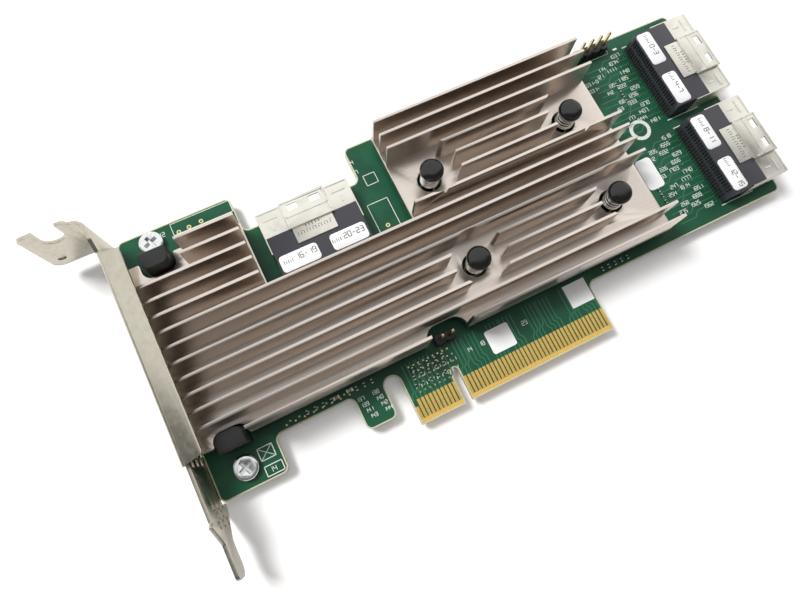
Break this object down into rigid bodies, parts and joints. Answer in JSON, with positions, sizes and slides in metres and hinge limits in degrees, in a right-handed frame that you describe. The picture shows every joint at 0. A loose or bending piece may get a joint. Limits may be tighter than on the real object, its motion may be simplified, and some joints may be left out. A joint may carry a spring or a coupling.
{
  "type": "raid controller card",
  "caption": "Low-profile plug-in storage controller card: slot bracket, edge connector, long finned heat sink on spring pins and side-facing cable sockets.",
  "frame": {"origin": "centre of the key slot in the edge connector, on the contact edge and on the board's component surface", "axes": "+X from the slot bracket along the board to the cable sockets, +Y from the contact edge to the board's far long edge, +Z out of the component side"},
  "size_m": [0.1695, 0.0806, 0.0217],
  "materials": {
    "board_laminate": "green solder mask over glass laminate",
    "contact_gold": "hard gold plating",
    "bracket_steel": "satin nickel plating on folded sheet steel",
    "screw_steel": "bright zinc plating",
    "sink_aluminium": "champagne anodised, fine satin",
    "pin_nylon": "glossy black moulded nylon",
    "spring_steel": "bright drawn wire",
    "block_black": "matt black moulding",
    "chip_substrate": "laminate chip carrier",
    "lid_metal": "matt nickel-plated lid",
    "thermal_pad": "soft grey gap pad",
    "chip_black": "matt moulding compound",
    "ferrite_grey": "pressed ferrite",
    "capacitor_ceramic": "tan ceramic with tinned ends",
    "resistor_black": "black glaze with tinned ends",
    "cage_plated": "satin tin plating",
    "socket_black": "matt black moulding",
    "tail_tin": "tinned copper alloy",
    "label_white": "blank white label",
    "header_black": "matt black moulding",
    "header_gold": "thin gold plating"
  },
  "bodies": {
    "root": {"blank_labels": "label_white", "bracket_screws": "screw_steel", "chip_capacitors": "capacitor_ceramic", "chip_resistors": "resistor_black", "circuit_board": "board_laminate", "controller_lid": "lid_metal", "controller_pad": "thermal_pad", "controller_substrate": "chip_substrate", "edge_contacts_top": "contact_gold", "edge_contacts_under": "contact_gold", "four_pin_header_body": "header_black", "four_pin_header_pins": "header_gold", "heat_sink": "sink_aluminium", "memory_chips": "chip_black", "pin_springs": "spring_steel", "port_labels_lower": "label_white", "port_labels_top": "label_white", "port_labels_upper": "label_white", "power_inductors": "ferrite_grey", "push_pins": "pin_nylon", "regulator_chips": "chip_black", "regulator_pads": "thermal_pad", "slot_bracket": "bracket_steel", "socket_body_lower": "socket_black", "socket_body_top": "socket_black", "socket_body_upper": "socket_black", "socket_cage_lower": "cage_plated", "socket_cage_top": "cage_plated", "socket_cage_upper": "cage_plated", "socket_tails_lower": "tail_tin", "socket_tails_top": "tail_tin", "socket_tails_upper": "tail_tin", "solder_side_capacitors": "capacitor_ceramic", "support_block_lower": "block_black", "support_block_upper": "block_black", "two_pin_header_body": "header_black", "two_pin_header_pins": "header_gold"}
  },
  "joints": []
}
